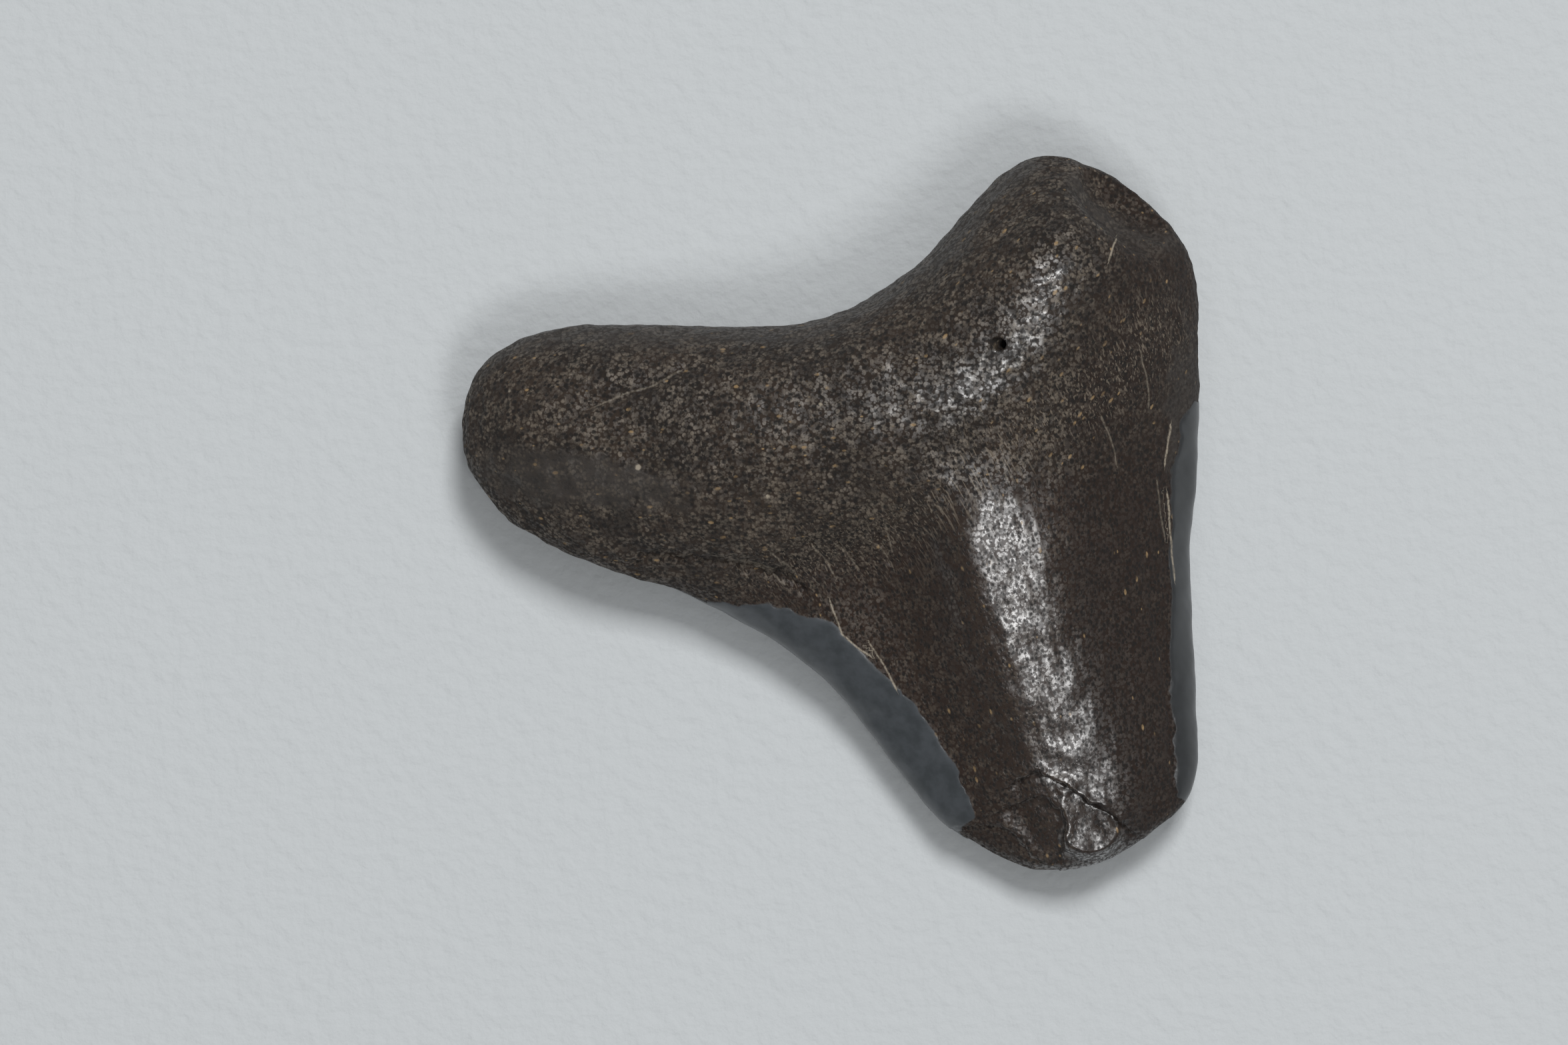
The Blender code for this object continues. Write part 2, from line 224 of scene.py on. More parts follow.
# 1 well inside an outline, 0 well outside, with a soft edge of the given width
def softInside(x, y, outline, width):
    return smoothStep(signedGap(x, y, outline) / width + 0.5)


def smoothStep(t):
    t = np.clip(t, 0.0, 1.0)
    return t * t * (3.0 - 2.0 * t)


# Smooth random waves of about the given length, the same on every run. Each octave adds some
# in random directions, half as long and half as high as the last
wavesInOctave = 7


def waves(places, length, seed, octaves=3):
    rng = np.random.default_rng(seed)
    total = np.zeros(len(places))
    for octave in range(octaves):
        scale = 2.0**octave
        for _ in range(wavesInOctave):
            direction = rng.normal(size=3)
            direction *= 2.0 * math.pi * scale / length / np.linalg.norm(direction)
            wave = np.sin(places @ direction + rng.uniform(0.0, 2.0 * math.pi))
            total += wave / scale / wavesInOctave**0.5
    return total


# 0 up to the start, then rising smoothly to 1 over the given width
def rise(value, start, width):
    return smoothStep((value - start) / width)


# 0 from the end on, and 1 at the given width or more before it
def fall(value, end, width):
    return smoothStep((end - value) / width)


# 1 on a line, and nearly 0 at twice the given reach from it
def near(gap, reach):
    return np.exp(-((gap / reach) ** 2))


# The outline of all that lies below a line, seen from above
def downFrom(path):
    return path + [(path[-1][0], beyondTip), (path[0][0], beyondTip)]


def pointsOf(mesh):
    flat = np.empty(len(mesh.vertices) * 3, np.float32)
    mesh.vertices.foreach_get("co", flat)
    return flat.reshape(-1, 3).astype(np.float64) / mm


def normalsOf(mesh):
    flat = np.empty(len(mesh.vertices) * 3, np.float32)
    mesh.vertices.foreach_get("normal", flat)
    return flat.reshape(-1, 3).astype(np.float64)


def putPoints(mesh, points):
    mesh.vertices.foreach_set("co", (points * mm).astype(np.float32).ravel())
    mesh.update()


def putNumber(mesh, name, values):
    layer = mesh.attributes.new(name, "FLOAT", "POINT")
    layer.data.foreach_set("value", values.astype(np.float32))


# The object as its modifiers leave it, with none of them left on it
def bake(obj):
    graph = bpy.context.evaluated_depsgraph_get()
    made = bpy.data.meshes.new_from_object(obj.evaluated_get(graph))
    obj.modifiers.clear()
    obj.data = made


# A vertex group with the given values, each rounded to one of a few levels
weightSteps = 10


def weigh(obj, name, values):
    group = obj.vertex_groups.new(name=name)
    for step in range(weightSteps + 1):
        chosen = np.flatnonzero(np.round(values * weightSteps) == step)
        if len(chosen):
            group.add(chosen.tolist(), step / weightSteps, "REPLACE")


# A fine, even, closed mesh of the solid, with its facets worn away
def makeFineMesh():
    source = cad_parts["tooth"]
    work = bmesh.new()
    work.from_mesh(source.data)
    bmesh.ops.remove_doubles(work, verts=work.verts, dist=tooth["mergeReach"] * mm)
    mesh = bpy.data.meshes.new("fossilTooth")
    work.to_mesh(mesh)
    work.free()
    piece = bpy.data.objects.new("fossilTooth", mesh)
    bpy.context.scene.collection.objects.link(piece)
    remesh = piece.modifiers.new("fine", "REMESH")
    remesh.mode = "VOXEL"
    remesh.voxel_size = tooth["meshEdge"] * mm
    bake(piece)
    points = pointsOf(piece.data)
    mouthX, mouthY = tooth["foramenMouth"]
    fromMouth = np.hypot(points[:, 0] - mouthX, points[:, 1] - mouthY)
    worn = rise(fromMouth, tooth["foramenKeep"], tooth["foramenFade"])
    weigh(piece, "worn", np.where(points[:, 2] > tooth["foramenFrom"], worn, 1.0))
    rounds = (("facets", tooth["facetWear"], "worn"), ("steps", tooth["stepWear"], ""))
    for name, passes, group in rounds:
        smooth = piece.modifiers.new(name, "SMOOTH")
        smooth.factor = 0.5
        smooth.iterations = passes
        smooth.vertex_group = group
    bake(piece)
    piece.vertex_groups.clear()
    print("fine mesh:", len(piece.data.vertices), "vertices")
    return piece


# Where the surface is polished, worn or shaded. Places, lengths and reaches are in mm, and a
# pair is the place where a change starts or ends and the width it takes
wear = {
    "wanderLengths": (1.1, 0.9),       # by which the borders wander, along X and Y
    "wander": 0.05,                    # and how far they do
    "upward": (-0.25, 0.3),            # of the normal's share along +Z
    "facing": (0.3, 0.4),              # the same, for what is carved from straight above
    "enamelEdge": 0.22,
    "enamelEnd": (-13.2, 0.3),         # Y where the outer enamel ends, and how far that wanders
    "crownPolish": 2.5,                # to each side of the crest
    "crownPolishTop": (3.0, 3.0),
    "rootPolish": 1.0,
    "rootPolishFoot": (2.2, 1.0),
    "rootPolishTop": (10.6, 1.2),
    "rootPolishAlong": (6.5, 6.0),     # along the crest, where the polish grows weaker
    "rootPolishLoss": 0.6,
    "flat": ((-10.2, 1.35), (4.3, 1.15), (0.12, 0.1)),  # middle, half size, lean
    "flatEdge": (1.4, 0.8, 0.15),      # of the half size, and the share of the wobble
    "facet": ((14.4, 3.9), (0.9, 3.4)),
    "facetEdge": (1.2, 0.5, 0.12),
    "rimWidth": 0.9,
    "rimHeight": (2.0, 1.5),
    "lipWidth": 0.5,
    "crownBlend": 2.2,
    "rightShade": (8.6, 2.0, 0.35, 6.0),    # and its lean to the right, above this Y
    "upperLobe": ((4.5, 6.0), (0.8, 0.6), (-1.5, 3.0)),  # a point, the way across, start, width
    "hollowEdge": (1.0, 0.6, 0.1),     # from its axis, and the share of the wobble
    "scratched": 1.6,
    "paleReach": (0.3, 0.15),
}


# Signed distance inside the enamel's border: above from its outlines, and below from its
# border on the outer face
def findEnamel(x, y, bx, by, wobble, up):
    topGap = np.maximum(signedGap(bx, by, enamelLeft), signedGap(bx, by, enamelRight))
    crownSide = inside(x, y, downFrom(outerBorder))
    gap, _, _ = alongPath(bx, by, outerBorder)
    end, wander = wear["enamelEnd"]
    outerGap = np.minimum(np.where(crownSide, gap, -gap), y - end - wander * np.abs(wobble))
    return np.clip(topGap * up + outerGap * (1.0 - up), -1.0, 1.0)


# How polished the crests of the crown and of the root are
def findPolish(x, y, up):
    crownGap, _, _ = alongPath(x, y, crownCrest)
    rootGap, _, rootGone = alongPath(x, y, rootCrest)
    crownPolish = near(crownGap, wear["crownPolish"]) * fall(y, *wear["crownPolishTop"]) * up
    rootPolish = near(rootGap, wear["rootPolish"]) * rise(y, *wear["rootPolishFoot"]) * up
    rootPolish *= fall(y, *wear["rootPolishTop"])
    rootPolish *= 1.0 - wear["rootPolishLoss"] * rise(rootGone, *wear["rootPolishAlong"])
    return crownPolish, rootPolish


# 1 inside a worn spot and 0 outside it, with an edge that wobbles. Gap and edge are both in mm,
# or both in half sizes of the spot
def wornSpot(gap, wobble, edge):
    end, width, share = edge
    return fall(gap - share * wobble, end, width)


# How worn the flat on the long lobe is, and then the sides, the right facet and the lip
def findWear(x, y, z, bx, by, wobble, up):
    (middleX, middleY), (halfX, halfY), (leanX, leanY) = wear["flat"]
    gap = np.hypot((x - middleX + leanX * (y - middleY)) / halfX,
                   (y - middleY + leanY * (x - middleX)) / halfY)
    flatWear = wornSpot(gap, wobble, wear["flatEdge"]) * up
    sideWear = softInside(bx, by, rimInner, wear["rimWidth"]) * rise(z, *wear["rimHeight"])
    (middleX, middleY), (halfX, halfY) = wear["facet"]
    gap = np.hypot((x - middleX) / halfX, (y - middleY) / halfY)
    sideWear = np.maximum(sideWear, wornSpot(gap, wobble, wear["facetEdge"]) * up)
    gap, _, _ = alongPath(x, y, lip[2])
    return flatWear, np.maximum(sideWear, near(gap, wear["lipWidth"]) * up)


# Distance to the nearest pale line with its side, and how strongly that line shows
def findPaleLines(x, y, up):
    lines = [alongPath(x, y, path) for path in paleLines + faintLines]
    strengths = np.array([1.0] * len(paleLines) + [faintShare] * len(faintLines))
    nearest = np.argmin([line[0] for line in lines], axis=0)
    gap = np.choose(nearest, [line[0] for line in lines])
    side = np.choose(nearest, [line[0] * line[1] for line in lines])
    return np.clip(side, -1.0, 1.0), fall(gap, *wear["paleReach"]) * up * strengths[nearest]


# What each part of the surface is, as numbers on the mesh, for carving and colour. Gaps are
# distances in mm, so that the shader can draw an edge finer than the mesh
def markSurface(piece):
    mesh = piece.data
    points, normals = pointsOf(mesh), normalsOf(mesh)
    x, y, z = points.T
    lengthX, lengthY = wear["wanderLengths"]
    wobble = waves(points, lengthX, tooth["seed"])
    bx = x + wear["wander"] * wobble
    by = y + wear["wander"] * waves(points, lengthY, tooth["seed"] + 1)
    up = rise(normals[:, 2], *wear["upward"])
    enamelGap = findEnamel(x, y, bx, by, wobble, up)
    enamel = smoothStep(enamelGap / wear["enamelEdge"] + 0.5)
    crownPolish, rootPolish = findPolish(x, y, up)
    flatWear, sideWear = findWear(x, y, z, bx, by, wobble, up)
    start, width, lean, above = wear["rightShade"]
    rightShade = rise(x - lean * np.maximum(y - above, 0.0), start, width)
    (fromX, fromY), (acrossX, acrossY), (start, width) = wear["upperLobe"]
    upperLobe = rise(acrossX * (x - fromX) + acrossY * (y - fromY), start, width)
    hollowGap, _, _ = alongPath(x, y, hollow[-1])
    paleSide, paleNear = findPaleLines(x, y, up)
    grainGap = np.min([np.hypot(x - gx, y - gy) - size for gx, gy, size in paleGrains], axis=0)
    marks = {
        "enamelGap": enamelGap,
        "enamel": enamel,
        "crownPolish": crownPolish,
        "rootPolish": rootPolish,
        "flatWear": flatWear * (1.0 - enamel),
        "sideWear": sideWear * (1.0 - enamel),
        "crown": softInside(x, y, downFrom(neckLine), wear["crownBlend"]),
        "upperLobe": upperLobe,
        "hollow": wornSpot(hollowGap, wobble, wear["hollowEdge"]) * up,
        "rightShade": rightShade * up,
        "scratched": near(alongPath(x, y, scratchPath)[0], wear["scratched"]) * up,
        "upward": up,
        "paleSide": paleSide,
        "paleNear": paleNear,
        "grainGap": np.where(up > 0.5, np.clip(grainGap, -1.0, 1.0), 1.0),
    }
    for name, values in marks.items():
        putNumber(mesh, name, values)
    print("surface marked:", ", ".join(marks))
    return marks


# Waves of the carving in mm: length, height or reach, and step of the seed
carving = {
    "swell": (2.6, 0.025, 2),      # the slow unevenness of a sea-worn surface
    "ripple": (0.9, 0.021, 3),
    "ragged": (0.7, 0.08, 4),      # how far a crease or a ledge wanders
    "bandWander": (2.2, 0.25, 6),  # and the ridge's band
    "streaks": (0.55, 0.007, 12),  # along the crown's fibres
    "streakRun": ((1.0, 0.22), 0.12, 0.4),  # of X with Y, Y and Z, in the streaks' own places
    "calm": 0.8,                   # of the ripple that crown and enamel lose
    "ledgeWander": 0.6,            # of the creases' wander
    "ledgeLip": (0.25, 0.22),      # height as a share of the ledge's depth, and half width
    "heightFrom": 0.3,             # how near the middle a slope takes its height
}


def carvedWaves(name, places):
    length, height, step = carving[name]
    return height * waves(places, length, tooth["seed"] + step, 2)


# A plane of the given slope, as high as the surface is at the middle
def slopeAt(x, y, z, up, away, middle, slope):
    height = np.median(z[(away < carving["heightFrom"]) & (up > 0.5)])
    return height + slope[0] * (x - middle[0]) + slope[1] * (y - middle[1])


# Levels the crown's ridge to its band
def levelRidge(points, up):
    x, y, z = points.T
    gap, _, _ = alongPath(x + carvedWaves("bandWander", points), y, ridge["spots"])
    weights, heights = [], []
    for middle in ridge["spots"]:
        away = np.hypot(x - middle[0], y - middle[1])
        weights.append(near(away, ridge["hold"]) + 1e-12)  # so that their sum is never 0
        heights.append(slopeAt(x, y, z, up, away, middle, ridge["slope"]))
    level = np.sum(np.multiply(weights, heights), axis=0) / np.sum(weights, axis=0)
    share = ridge["share"] * fall(gap, ridge["reach"], ridge["fade"]) * up
    points[:, 2] += share * (level - z)


def raiseMound(points, up):
    x, y, z = points.T
    middle, half = mound["middle"], mound["half"]
    away = np.hypot((x - middle[0]) / half[0], (y - middle[1]) / half[1])
    level = slopeAt(x, y, z, up, away, middle, mound["slope"]) + mound["rise"]
    points[:, 2] += fall(away, mound["reach"], mound["fade"]) * up * (level - z)


# Carves what is larger than the grain: waves, creases, flake ledges, the enamel's edge
def carve(piece, marks):
    mesh = piece.data
    points, normals = pointsOf(mesh), normalsOf(mesh)
    x, y, z = points.T
    up = marks["upward"]
    facing = rise(normals[:, 2], *wear["facing"])
    levelRidge(points, up)
    raiseMound(points, up)
    calm = carving["calm"] * np.maximum(marks["enamel"], marks["crown"])
    lift = carvedWaves("swell", points) + (1.0 - calm) * carvedWaves("ripple", points)
    ragged = carvedWaves("ragged", points)
    for depth, halfWidth, path in creases.values():
        gap, _, _ = alongPath(x + ragged, y + ragged, path)
        lift -= depth * near(gap, halfWidth) * up
    share, lipWidth = carving["ledgeLip"]
    bent = carving["ledgeWander"] * ragged
    for depth, width, back, path in chipEdges.values():
        gap, side, _ = alongPath(x + bent, y + bent, path)
        drop = smoothStep(gap / width) * np.exp(-np.maximum(gap - width, 0.0) / back)
        lift -= np.where(side < 0, depth * drop, 0.0) * up
        lift += share * depth * near(gap, lipWidth) * up
    depth, halfWidth, slope, path = hollow
    gap, _, _ = alongPath(x + ragged, y + ragged, path)
    lift -= depth * fall(gap, halfWidth, slope) * facing
    height, halfWidth, path = lip
    gap, _, _ = alongPath(x + ragged, y + ragged, path)
    lift += height * near(gap, halfWidth) * facing
    lift += tooth["enamelStep"] * (marks["enamel"] - 0.5) * (1.0 - marks["sideWear"])
    (alongX, leanY), alongY, alongZ = carving["streakRun"]
    places = np.column_stack([x * alongX + leanY * y, y * alongY, z * alongZ])
    lift += carvedWaves("streaks", places) * marks["crown"] * (1.0 - marks["enamel"]) * up
    putPoints(mesh, points + normals * lift[:, None])
    print("carved: creases", len(creases), "flake ledges", len(chipEdges))


# Short ways to add and join nodes, in shader and geometry trees alike
class NodeMaker:
    def __init__(self, tree):
        self.nodes, self.links = tree.nodes, tree.links

    def new(self, kind, **settings):
        node = self.nodes.new(kind)
        for name, value in settings.items():
            setattr(node, name, value)
        return node

    def feed(self, socket, value):
        if isinstance(value, (int, float, tuple)):
            socket.default_value = value
        else:
            self.links.new(value, socket)

    def math(self, operation, *values, clamp=False):
        node = self.new("ShaderNodeMath", operation=operation, use_clamp=clamp)
        for socket, value in zip(node.inputs, values):
            self.feed(socket, value)
        return node.outputs[0]

    def times(self, first, second):
        return self.math("MULTIPLY", first, second)

    # The base with the given amount of a mask added to it
    def plus(self, base, mask, amount, clamp=False):
        return self.math("MULTIPLY_ADD", mask, amount, base, clamp=clamp)

    def most(self, first, second):
        return self.math("MAXIMUM", first, second)

    def opposite(self, mask):
        return self.math("SUBTRACT", 1.0, mask)

    def spread(self, value, low, high, outLow=0.0, outHigh=1.0):
        node = self.new("ShaderNodeMapRange", interpolation_type="SMOOTHSTEP")
        for socket, number in zip(node.inputs, (value, low, high, outLow, outHigh)):
            self.feed(socket, number)
        return node.outputs[0]

    def blend(self, share, first, second):
        node = self.new("ShaderNodeMix", data_type="RGBA")
        self.feed(node.inputs["Factor"], share)
        self.feed(node.inputs[6], first)
        self.feed(node.inputs[7], second)
        return node.outputs[2]

    def mark(self, name):
        return self.new("ShaderNodeAttribute", attribute_name=name).outputs["Fac"]

    # The second vector where the mark is over a half, else the first
    def choose(self, mark, first, second):
        node = self.new("ShaderNodeMix", data_type="VECTOR")
        self.feed(node.inputs[0], self.math("GREATER_THAN", mark, 0.5))
        self.feed(node.inputs[4], first)
        self.feed(node.inputs[5], second)
        return node.outputs[1]

    # Places turned about +Z and measured in cells of the given size in mm
    def laid(self, vector, turn, cell):
        turned = self.new("ShaderNodeVectorRotate", rotation_type="Z_AXIS")
        self.feed(turned.inputs["Vector"], vector)
        turned.inputs["Angle"].default_value = -math.radians(turn)
        measured = self.new("ShaderNodeVectorMath", operation="DIVIDE")
        self.feed(measured.inputs[0], turned.outputs[0])
        measured.inputs[1].default_value = (cell[0] * mm, cell[1] * mm, cell[1] * mm)
        return measured.outputs[0]

    def noise(self, vector, scale, detail=2.0, roughness=0.5):
        node = self.new("ShaderNodeTexNoise")
        self.feed(node.inputs["Vector"], vector)
        self.feed(node.inputs["Scale"], scale)
        node.inputs["Detail"].default_value = detail
        node.inputs["Roughness"].default_value = roughness
        return node.outputs["Fac"]

    def cells(self, vector, scale):
        node = self.new("ShaderNodeTexVoronoi")
        self.feed(node.inputs["Vector"], vector)
        self.feed(node.inputs["Scale"], scale)
        return node


# Places measured in cells that lie along the fibres of whichever part of the tooth they are on
def alongFibres(s, place, upperLobe, crown, cells):
    long, short, stump = (s.laid(place, turn, cell) for turn, cell in zip(grainTurns, cells))
    onRoot = s.choose(upperLobe, long, short)
    return s.choose(crown, onRoot, stump)


# Pits: how their cells are bent, and where their walls are, as a share of their width
pit = {"bendScale": 1.3, "bend": (0.8, 0.8, 0.8), "wall": (0.3, 1.0)}


# 1 at the middle of each cell and 0 between them, each pit its own width
def pitMask(s, cells, narrow, wide):
    bend = s.new("ShaderNodeTexNoise")
    s.feed(bend.inputs["Vector"], cells)
    bend.inputs["Scale"].default_value = pit["bendScale"]
    bent = s.new("ShaderNodeVectorMath", operation="MULTIPLY_ADD")
    s.feed(bent.inputs[0], bend.outputs["Color"])
    bent.inputs[1].default_value = pit["bend"]
    s.feed(bent.inputs[2], cells)
    cell = s.cells(bent.outputs[0], 1.0)
    lucky = s.new("ShaderNodeVectorMath", operation="DOT_PRODUCT")
    s.feed(lucky.inputs[0], cell.outputs["Color"])
    lucky.inputs[1].default_value = (1.0, 0.0, 0.0)
    reach = s.spread(lucky.outputs["Value"], 0.0, 1.0, narrow, wide)
    share = s.math("DIVIDE", cell.outputs["Distance"], reach)
    return s.spread(share, *pit["wall"], 1.0, 0.0)


# The spongy grain as a Geometry Nodes tree: wide pits along the fibres, and low lumps
def makeGrainTree():
    tree = bpy.data.node_groups.new("toothGrain", "GeometryNodeTree")
    tree.is_modifier = True
    face = tree.interface
    face.new_socket("Geometry", in_out="INPUT", socket_type="NodeSocketGeometry")
    for name in ("Pit Depth", "Lump Size", "Lump Height", "Seed"):
        face.new_socket(name, in_out="INPUT", socket_type="NodeSocketFloat")
    face.new_socket("Surface", in_out="INPUT", socket_type="NodeSocketMaterial")
    face.new_socket("Geometry", in_out="OUTPUT", socket_type="NodeSocketGeometry")
    s = NodeMaker(tree)
    given = s.new("NodeGroupInput")

    def named(name):
        node = s.new("GeometryNodeInputNamedAttribute", data_type="FLOAT")
        node.inputs["Name"].default_value = name
        return node.outputs["Attribute"]

    crown = named("crown")
    place = s.new("GeometryNodeInputPosition").outputs[0]
    cells = alongFibres(s, place, named("upperLobe"), crown, widePits)
    pits = pitMask(s, cells, *surface["widePitReach"])
    fine = s.new("ShaderNodeTexNoise", noise_dimensions="4D")
    s.feed(fine.inputs["Vector"], place)
    s.feed(fine.inputs["W"], given.outputs["Seed"])
    s.feed(fine.inputs["Scale"], s.math("DIVIDE", 1.0, given.outputs["Lump Size"]))
    fine.inputs["Detail"].default_value = tooth["lumpDetail"]
    lumps = s.times(s.math("SUBTRACT", fine.outputs["Fac"], 0.5), 2.0)
    lumps = s.times(lumps, given.outputs["Lump Height"])
    sunk = s.times(pits, given.outputs["Pit Depth"])
    smooth = s.most(named("flatWear"), named("sideWear"))
    kept = s.opposite(s.times(smooth, tooth["grainLoss"]))
    kept = s.times(kept, s.opposite(named("enamel")))
    kept = s.times(kept, s.opposite(s.times(crown, tooth["grainLoss"])))
    lift = s.times(s.math("SUBTRACT", lumps, sunk), kept)

    along = s.new("ShaderNodeVectorMath", operation="SCALE")
    s.feed(along.inputs[0], s.new("GeometryNodeInputNormal").outputs[0])
    s.feed(along.inputs["Scale"], lift)
    move = s.new("GeometryNodeSetPosition")
    s.feed(move.inputs["Geometry"], given.outputs["Geometry"])
    s.feed(move.inputs["Offset"], along.outputs[0])
    real = s.new("GeometryNodeRealizeInstances")
    s.feed(real.inputs[0], move.outputs[0])
    dress = s.new("GeometryNodeSetMaterial")
    s.feed(dress.inputs["Geometry"], real.outputs[0])
    s.feed(dress.inputs["Material"], given.outputs["Surface"])
    out = s.new("NodeGroupOutput")
    s.feed(out.inputs[0], dress.outputs[0])
    return tree


def addGrain(piece, material):
    tree = makeGrainTree()
    grain = piece.modifiers.new("grain", "NODES")
    grain.node_group = tree
    values = {
        "Pit Depth": tooth["pitDepth"] * mm,
        "Lump Size": tooth["lumpSize"] * mm,
        "Lump Height": tooth["lumpHeight"] * mm,
        "Seed": float(tooth["seed"]),
        "Surface": material,
    }
    for item in tree.interface.items_tree:
        if item.in_out == "INPUT" and item.name in values:
            grain[item.identifier] = values[item.name]
    bake(piece)
    print("grain laid on")


# Where the mesh may be thinned: the normal's share along +Z and the height, in mm, below which
# it is, and the width over which that comes in
thinned = {"facing": (0.15, 0.3), "height": (3.5, 1.5)}


# Keeps the fine mesh above and thins it below, where little shows
def thinUnderside(piece):
    points = pointsOf(piece.data)
    normals = normalsOf(piece.data)
    below = fall(normals[:, 2], *thinned["facing"]) * fall(points[:, 2], *thinned["height"])
    weigh(piece, "below", below)
    thin = piece.modifiers.new("thinner below", "DECIMATE")
    lower = float(np.mean(below))
    thin.ratio = 1.0 - lower * (1.0 - tooth["undersideShare"])
    thin.vertex_group = "below"
    bake(piece)
    piece.vertex_groups.clear()
    points = pointsOf(piece.data)
    low, high = (np.array(corner) / mm for corner in cadBox)
    putPoints(piece.data, np.clip(points, low, high))
    print("underside thinned:", len(piece.data.polygons), "faces")


def newGroup(name, inputs, outputs):
    tree = bpy.data.node_groups.new(name, "ShaderNodeTree")
    for title, kind, value in inputs:
        socket = tree.interface.new_socket(title, in_out="INPUT", socket_type=kind)
        if value is not None:
            socket.default_value = value
    for title, kind in outputs:
        tree.interface.new_socket(title, in_out="OUTPUT", socket_type=kind)
    s = NodeMaker(tree)
    return tree, s, s.new("NodeGroupInput"), s.new("NodeGroupOutput")


# The stone's grain: noise, and light dots in cells of their own, painted glints on the grains'
# tops and in part their paler colour
stone = {
    "detail": 2.0,
    "roughness": 0.65,
    "dotScale": 0.72,          # of the noise's scale
    "dotShades": (0.3, 1.0),
    "dotEdge": (0.4, 0.75),    # from the middle of a cell
    "patches": (0.34, 0.54, 0.3, 1.0),  # of noise, and the shade there and outside them
}


# Fine stone grain: a height for bump, and from 0 to 1 the light dots for colour: painted glints
# on the grains' tops, partly the grains' own paler colour
def makeStoneGrain():
    tree, s, given, out = newGroup(
        "stoneGrain",
        [("Place", "NodeSocketVector", None), ("Size", "NodeSocketFloat", 0.0001)],
        [("Height", "NodeSocketFloat"), ("GlintSpeckle", "NodeSocketFloat")],
    )
    place = given.outputs["Place"]
    scale = s.math("DIVIDE", 1.0, given.outputs["Size"])
    coarse = s.noise(place, scale, stone["detail"], stone["roughness"])
    found = s.cells(place, s.times(scale, stone["dotScale"]))
    lucky = s.new("ShaderNodeSeparateColor")
    s.feed(lucky.inputs[0], found.outputs["Color"])
    bright = s.spread(lucky.outputs[0], 0.0, 1.0, *stone["dotShades"])
    dots = s.spread(found.outputs["Distance"], *stone["dotEdge"], 1.0, 0.0)
    speckle = s.times(s.times(dots, bright), s.spread(coarse, *stone["patches"]))
    s.feed(out.inputs["Height"], s.times(s.math("SUBTRACT", coarse, 0.5), 2.0))
    s.feed(out.inputs["GlintSpeckle"], speckle)
    return tree


# Pits in the cells of a fibre grid
def makePits():
    tree, s, given, out = newGroup(
        "fibrePits",
        [("Cells", "NodeSocketVector", None), ("Narrow", "NodeSocketFloat", 0.2),
         ("Wide", "NodeSocketFloat", 0.6)],
        [("Mask", "NodeSocketFloat")],
    )
    reaches = (given.outputs["Narrow"], given.outputs["Wide"])
    s.feed(out.inputs["Mask"], pitMask(s, given.outputs["Cells"], *reaches))
    return tree


# Reach of a fleck in its cell, narrowest and widest, and where its edge is as a share of that
fleck = {"reach": (0.2, 0.42), "edge": (0.5, 1.0)}


# Short pale flecks in some of the cells of a fibre grid
def makeFlecks():
    tree, s, given, out = newGroup(
        "tanFlecks",
        [("Cells", "NodeSocketVector", None), ("Share", "NodeSocketFloat", 0.1)],
        [("Mask", "NodeSocketFloat")],
    )
    found = s.cells(given.outputs["Cells"], 1.0)
    lucky = s.new("ShaderNodeSeparateColor")
    s.feed(lucky.inputs[0], found.outputs["Color"])
    chosen = s.math("LESS_THAN", lucky.outputs[0], given.outputs["Share"])
    size = s.spread(lucky.outputs[1], 0.0, 1.0, *fleck["reach"])
    share = s.math("DIVIDE", found.outputs["Distance"], size)
    s.feed(out.inputs["Mask"], s.times(chosen, s.spread(share, *fleck["edge"], 1.0, 0.0)))
    return tree


def useGroup(s, tree, **values):
    node = s.new("ShaderNodeGroup")
    node.node_tree = tree
    for name, value in values.items():
        s.feed(node.inputs[name], value)
    return node


# sRGB bytes to the linear colour that a shader takes
def tone(red, green, blue):
    def linear(byte):
        c = byte / 255.0
        return c / 12.92 if c <= 0.04045 else ((c + 0.055) / 1.055) ** 2.4

    return (linear(red), linear(green), linear(blue), 1.0)


